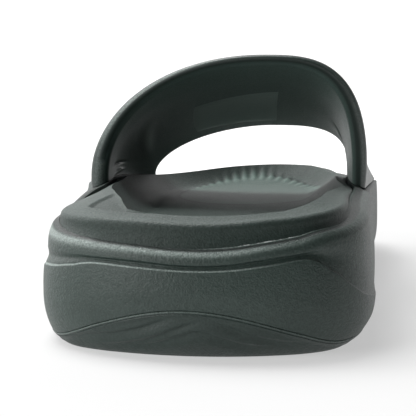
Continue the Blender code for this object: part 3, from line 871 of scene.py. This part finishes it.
def footbed_profile(turn):
    along = along_of(turn)
    inset = bed_inset(turn)
    seat = cup_floor(along) - WELL_DEPTH + CLEARANCE
    top = bed_edge(turn) - RIM_ROUND
    lip = ledge_top(turn) - RIM_FLARE_DROP
    flare = RIM_FLARE * (1 - strap_covers(along))
    rows = [(wall_point(turn, inset, mix(seat, lip, k / 4)), 0.0) for k in range(5)]
    for k in range(15):
        share = k / 14
        out = flare * (1 - share) ** 2.5
        rows.append((wall_point(turn, inset - out, mix(lip, top, share)), 0.0))
    # The rim's rounding is painted pale where it turns upwards, a painted highlight.
    for degrees in (12, 24, 36, 48, 60, 72, 84):
        angle = math.radians(degrees)
        height = top + RIM_ROUND * math.sin(angle)
        across = inset + RIM_ROUND * (1 - math.cos(angle))
        rows.append((wall_point(turn, across, height), RIM_PAINTED_HIGHLIGHT * math.sin(angle) ** 2))
    width = rim_share(turn) * RIM_WIDTH
    outer = leaf_outer(degrees_from_heel(turn))
    for k in range(SLOPE_LEVELS + 1):
        share = k / SLOPE_LEVELS
        height = mix(bed_edge(turn), crest_height(along), CREST_SHARE * share)
        leaf = ease((share - outer) / 0.10) * ease((1.0 - share) / 0.06)
        across = inset + RIM_ROUND + width * CREST_SHARE * share
        # The rim's top is painted pale too, a painted highlight, less towards the crest and not in
        # the leaf.
        pale = (RIM_PAINTED_HIGHLIGHT - 0.35 * ease(share / 0.5)) * (1 - 0.9 * leaf)
        rows.append((wall_point(turn, across, height - RECESS_DEPTH * leaf), pale))
    crest = rows[-1][0]
    for k in range(1, CUP_LEVELS + 1):
        share = 1 - 0.97 * (k / CUP_LEVELS) ** 1.3
        flat = towards_middle(crest, share)
        own = (flat.y + CENTRE.y) / LENGTH
        floor = mix(cup_floor(own), cup_floor(along), share)
        down = 1 - (1 - min((1 - share) / CUP_SIDE, 1.0)) ** CUP_POWER
        flat.z = mix(crest.z, floor, down)
        inside, rib = toe_oval(flat)
        flat.z += TOE_RIB_HEIGHT * rib
        # The cup's floor is painted paler where it levels out, painted light; the toe oval and its
        # ribs take the oval's own paler colour through deep.
        pale = CUP_PAINTED_LIGHT * ease((down - 0.75) / 0.25) * (1 - inside)
        rows.append((flat, pale - 0.55 * inside - 0.45 * rib))
    return rows


mesh = bmesh.new()
first_ring, last_ring = sweep(mesh, footbed_profile)
close_across(mesh, first_ring)
close_across(mesh, last_ring)
footbed = finish_piece("footbed_skin", mesh)
footbed.data.materials.append(foam(
    "footbed_foam",
    dark=(0.014, 0.024, 0.020, 1.0),
    light=(0.030, 0.046, 0.040, 1.0),
    edge=(0.066, 0.088, 0.080, 1.0),
    deep=(0.085, 0.130, 0.112, 1.0),
    rough=0.57,
    gloss=0.33,
    grain=0.00030,
))
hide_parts("footbed")


# The strap is one wide band of moulded foam, glued to the lateral and the medial ledge. Its
# outside flares out to the sole's side at its feet, its edges are rounded, and its inside is a
# smooth dark lining with a few soft folds where it bends down to the sole.
INSTEP_HEIGHT = 0.0820
FRONT_HEIGHT = 0.0572
STRAP_WALL = 0.0046
STRAP_FLARE = 0.0150
STRAP_NOSE = 0.03
STRAP_REAR = 0.448
STRAP_FRONT_LATERAL = 0.831
STRAP_FRONT_MEDIAL = 0.815
CROWN_REAR = 0.407
CROWN_FRONT = 0.741
STRAP_SPANS = 200
STRAP_ROWS = 64
NOSE_POINTS = 11
NOSE_OUTER = 3
NOSE_REACH = 0.02
NOSE_PAINTED_SHADE = 0.7
FOOT_PAINTED_LIGHT = 0.45

# Sections of the strap from its rear to its front edge: how far in its foot and waist stand, as
# shares of RIM_INSET, the power of its arch on each side, its crown's place across and its wall
Arch = namedtuple(
    "Arch", "along foot waist_lateral waist_medial bow_lateral bow_medial crown wall"
)
ARCH = (
    Arch(0.00, 0.40, 0.28, 0.23, 2.06, 3.05, 0.079, 0.80),
    Arch(0.20, 0.25, 0.32, 0.40, 1.98, 2.85, 0.074, 1.00),
    Arch(0.55, 0.11, 0.50, 0.65, 1.90, 2.75, 0.062, 1.05),
    Arch(0.80, 0.20, 0.95, 1.00, 1.82, 3.00, 0.052, 1.00),
    Arch(1.00, 0.36, 1.35, 1.30, 1.74, 3.40, 0.045, 0.85),
)
arch_foot = Curve(ARCH, "foot")
arch_waist = {"lateral": Curve(ARCH, "waist_lateral"), "medial": Curve(ARCH, "waist_medial")}
arch_bow = {"lateral": Curve(ARCH, "bow_lateral"), "medial": Curve(ARCH, "bow_medial")}
arch_crown = Curve(ARCH, "crown")
arch_wall = Curve(ARCH, "wall")


# The soft folds of the lining, each a straight line over it, (across, along) to (across, along):
# its height as a share of the wall, its half width in metres, and how pale it is painted, a
# painted highlight where positive and painted shade where negative
Fold = namedtuple("Fold", "start end height width pale")
FOLDS = (
    Fold((0.245, 0.28), (0.115, 0.95), 0.09, 0.0065, 0.70),
    Fold((0.036, 0.16), (0.072, 0.66), -0.09, 0.0018, -0.70),
    Fold((0.004, 0.20), (0.034, 0.62), 0.09, 0.0018, 0.60),
    Fold((0.740, 0.45), (0.960, 0.70), -0.08, 0.0040, -0.30),
)
STRAP_GIRTH = 0.160
STRAP_LENGTH = 0.105


def folds(across, along):
    """How far the lining stands up at a place, as a share of the wall, and its mark: painted
    highlight or painted shade.
    """
    height = pale = 0.0
    place = Vector((across * STRAP_GIRTH, along * STRAP_LENGTH))
    for fold in FOLDS:
        start = Vector((fold.start[0] * STRAP_GIRTH, fold.start[1] * STRAP_LENGTH))
        line = Vector((fold.end[0] * STRAP_GIRTH, fold.end[1] * STRAP_LENGTH)) - start
        share = (place - start).dot(line) / line.length_squared
        away = (place - start - line * min(max(share, 0.0), 1.0)).length / fold.width
        fade = bump(2 * share - 1)
        height += fold.height * bump(away) * fade
        pale += fold.pale * bump(away) * fade
    return height, pale


@functools.cache
def strap_section(side, along):
    """What one section of the strap is made from, on one side."""
    if side == "lateral":
        turn = turn_of(mix(STRAP_REAR, STRAP_FRONT_LATERAL, along))
    else:
        turn = 2 * math.pi - turn_of(mix(STRAP_REAR, STRAP_FRONT_MEDIAL, along))
    return (
        turn,
        2 / arch_bow[side](along),
        arch_waist[side](along) * RIM_INSET,
        arch_foot(along) * RIM_INSET,
        bed_inset(turn) - CLEARANCE,
    )


def strap_stand(turn, inset):
    return wall_point(turn, inset, ledge_height(turn, inset) + CLEARANCE)


def strap_point(across, along, depth):
    """across runs from the lateral to the medial foot, along from rear to front, depth inwards."""
    side = "lateral" if across < 0.5 else "medial"
    turn, power, waist, foot, inner = strap_section(side, along)
    stand = strap_stand(turn, mix(foot, inner, depth))
    stance = strap_stand(turn, mix(waist, inner, depth))
    stance.z = stand.z
    crown = Vector((
        arch_crown(along) * BALL_WIDTH - CENTRE.x,
        mix(CROWN_REAR, CROWN_FRONT, along) * LENGTH - CENTRE.y,
        mix(INSTEP_HEIGHT, FRONT_HEIGHT, along) - arch_wall(along) * STRAP_WALL * depth,
    ))
    angle = math.pi * across
    inwards = 1 - abs(math.cos(angle)) ** power
    upwards = max(math.sin(angle), 0.0) ** power
    point = Vector((
        mix(stance.x, crown.x, inwards),
        mix(stance.y, crown.y, upwards),
        mix(stance.z, crown.z, upwards),
    ))
    near_foot = max(1 - (point.z - stand.z) / STRAP_FLARE, 0.0) ** 2
    point.x += (stand.x - stance.x) * near_foot
    point.y += (stand.y - stance.y) * near_foot
    return point


def strap_loop(across):
    """The band's closed section: out along its face, around the edges, and back inside."""
    last = STRAP_ROWS - 1
    faces = [mix(STRAP_NOSE, 1 - STRAP_NOSE, k / last) for k in range(STRAP_ROWS)]
    nose = []
    for k in range(1, NOSE_POINTS + 1):
        angle = math.pi * k / (NOSE_POINTS + 1)
        nose.append((1 - STRAP_NOSE * (1 - math.sin(angle)), (1 - math.cos(angle)) / 2))
    rows = [(along, 0.0) for along in faces]
    rows += nose
    rows += [(along, 1.0) for along in reversed(faces)]
    rows += [(1 - along, depth) for along, depth in reversed(nose)]
    return rows


mesh = bmesh.new()
mark = mesh.verts.layers.float.new("mark")
loops = []
for k in range(STRAP_SPANS + 1):
    loop = []
    across = k / STRAP_SPANS
    for along, depth in strap_loop(across):
        height, pale = folds(across, along) if depth == 1.0 else (0.0, 0.0)
        vertex = mesh.verts.new(strap_point(across, along, depth + height))
        # The edges' outer half is painted pale, a painted highlight strongest on the rear edge's
        # lateral side; the rear edge's lateral foot is painted pale as a lit face; the edges'
        # inner half is painted dark, painted shade.
        rear = along < 0.5
        nose = ease(1 - min(along, 1 - along) / NOSE_REACH)
        line = nose * bump((depth - 0.25) / 0.30)
        line *= 0.4 + 0.6 * bump((across - 0.25) / 0.25) * rear
        foot = nose * rear * ease((0.09 - across) / 0.04)
        dark = nose * ease((depth - 0.35) / 0.20) * (1 - foot)
        vertex[mark] = max(line, FOOT_PAINTED_LIGHT * foot) - NOSE_PAINTED_SHADE * dark + pale
        loop.append(vertex)
    loops.append(loop)
inner_start = STRAP_ROWS + NOSE_POINTS - NOSE_OUTER
inner_end = 2 * STRAP_ROWS + NOSE_POINTS + NOSE_OUTER
for one, other in zip(loops, loops[1:]):
    for i in range(len(one)):
        j = (i + 1) % len(one)
        face = mesh.faces.new((one[i], one[j], other[j], other[i]))
        face.material_index = 1 if inner_start <= i < inner_end else 0
mesh.faces.new(loops[0])
mesh.faces.new(list(reversed(loops[-1])))
strap = finish_piece("strap_skin", mesh)
strap.data.materials.append(foam(
    "strap_foam",
    dark=(0.016, 0.026, 0.022, 1.0),
    light=(0.030, 0.044, 0.039, 1.0),
    edge=(0.210, 0.250, 0.235, 1.0),
    deep=(0.010, 0.017, 0.0145, 1.0),
    rough=0.40,
    gloss=0.50,
    grain=0.00010,
))
strap.data.materials.append(foam(
    "strap_lining",
    dark=(0.048, 0.074, 0.065, 1.0),
    light=(0.070, 0.102, 0.091, 1.0),
    edge=(0.230, 0.280, 0.260, 1.0),
    deep=(0.012, 0.019, 0.017, 1.0),
    rough=0.46,
    gloss=0.45,
    grain=0.00005,
))
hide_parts("strap")


# A thin blank patch of smooth film is bonded to the lining near the strap's front edge, in the
# place of a label, and its rim fades into the lining.
PATCH_CORNERS = ((0.300, 0.865), (0.340, 0.450), (0.520, 0.360), (0.505, 0.870))
PATCH_PROUD = 0.00025
PATCH_ROUND = 0.08
PATCH_STEPS = 30


def patch_point(right, rear, proud):
    """right and rear run from 0 to 1 over the patch; proud is its height over the lining."""
    (a, b), (c, d), (e, f), (g, h) = PATCH_CORNERS
    across = mix(mix(a, c, rear), mix(g, e, rear), right)
    along = mix(mix(b, d, rear), mix(h, f, rear), right)
    step = 0.004
    here = strap_point(across, along, 1.0)
    sideways = strap_point(across + step, along, 1.0) - here
    forwards = strap_point(across, along + step, 1.0) - here
    return here + forwards.cross(sideways).normalized() * proud


mesh = bmesh.new()
grid = []
for i in range(PATCH_STEPS + 1):
    row = []
    for k in range(PATCH_STEPS + 1):
        right, rear = i / PATCH_STEPS, k / PATCH_STEPS
        rim = min(right, 1 - right, rear, 1 - rear)
        proud = PATCH_PROUD * ease(rim / PATCH_ROUND)
        row.append(mesh.verts.new(patch_point(right, rear, proud)))
    grid.append(row)
for one, other in zip(grid, grid[1:]):
    for k in range(PATCH_STEPS):
        mesh.faces.new((one[k], other[k], other[k + 1], one[k + 1]))
patch = finish_piece("strap_patch", mesh)
patch.data.materials.append(foam(
    "strap_patch",
    dark=(0.230, 0.290, 0.270, 1.0),
    light=(0.280, 0.345, 0.320, 1.0),
    edge=(0.300, 0.360, 0.340, 1.0),
    deep=(0.030, 0.045, 0.040, 1.0),
    rough=0.50,
    gloss=0.35,
    grain=0.00003,
))


# A plain pale studio: a floor that curves up into a wall behind, three broad soft lights on the
# lateral side, above, beside and in front, and the photo's camera, turned to the one shoe.
CAMERA_PLACE = Vector((0.0549, -0.545, 0.080))
AIM = Vector((0.0109, -0.145, 0.0412))
LENS = 134.0
STUDIO_WIDTH = 5.0
FLOOR_BACK = 0.45
WALL_PLACE = 1.4
FLOOR_FRONT = -2.5
WALL_BEND = 0.8
WALL_TOP = 2.4


def paper(name, section, shade, glow):
    """A wide sheet of studio paper that follows a section, seen from the side."""
    mesh = bmesh.new()
    left = [mesh.verts.new((-STUDIO_WIDTH, y, z)) for y, z in section]
    right = [mesh.verts.new((STUDIO_WIDTH, y, z)) for y, z in section]
    for k in range(len(section) - 1):
        mesh.faces.new((left[k], right[k], right[k + 1], left[k + 1]))
    data = bpy.data.meshes.new(name)
    mesh.to_mesh(data)
    mesh.free()
    data.shade_smooth()
    sheet = bpy.data.objects.new(name, data)
    bpy.context.scene.collection.objects.link(sheet)
    finish = Finish(name)
    finish.wear({
        "Base Color": (shade, shade, shade, 1.0),
        "Roughness": 0.9,
        "Specular IOR Level": 0.1,
        "Emission Color": (1.0, 1.0, 1.0, 1.0),
        "Emission Strength": glow,
    })
    data.materials.append(finish.material)


paper("floor", [(FLOOR_FRONT, 0.0), (FLOOR_BACK, 0.0)], 0.36, 0.48)
bend = [math.radians(90 * k / 16) for k in range(17)]
wall = [(WALL_PLACE + WALL_BEND * math.sin(a), WALL_BEND * (1 - math.cos(a))) for a in bend]
wall = [(FLOOR_BACK, 0.0)] + wall + [(WALL_PLACE + WALL_BEND, WALL_TOP)]
paper("backdrop", wall, 0.50, 0.62)

Lamp = namedtuple("Lamp", "name place size power")
LAMPS = (
    Lamp("soft_light_lateral", Vector((-1.7, 0.6, 0.8)), 1.2, 17.0),
    Lamp("soft_light_above", Vector((-0.7, 0.5, 1.8)), 1.4, 50.0),
    Lamp("soft_light_front", Vector((-1.4, -1.3, 0.7)), 1.2, 26.0),
)
for lamp in LAMPS:
    light = bpy.data.lights.new(lamp.name, "AREA")
    light.size = lamp.size
    light.energy = lamp.power
    holder = bpy.data.objects.new(lamp.name, light)
    holder.location = lamp.place
    holder.rotation_euler = (-lamp.place).to_track_quat("-Z", "Y").to_euler()
    bpy.context.scene.collection.objects.link(holder)

world = bpy.data.worlds.new("studio")
world.use_nodes = True
world.node_tree.nodes["Background"].inputs["Color"].default_value = (1.0, 1.0, 1.0, 1.0)
world.node_tree.nodes["Background"].inputs["Strength"].default_value = 0.03
bpy.context.scene.world = world
bpy.context.scene.view_settings.view_transform = "Standard"

camera = bpy.data.objects.new("camera", bpy.data.cameras.new("camera"))
camera.location = CAMERA_PLACE
camera.rotation_euler = (AIM - CAMERA_PLACE).to_track_quat("-Z", "Y").to_euler()
camera.data.sensor_width = 36.0
camera.data.lens = LENS
camera.data.clip_start = 0.01
camera.data.clip_end = 20.0
bpy.context.scene.collection.objects.link(camera)
bpy.context.scene.camera = camera
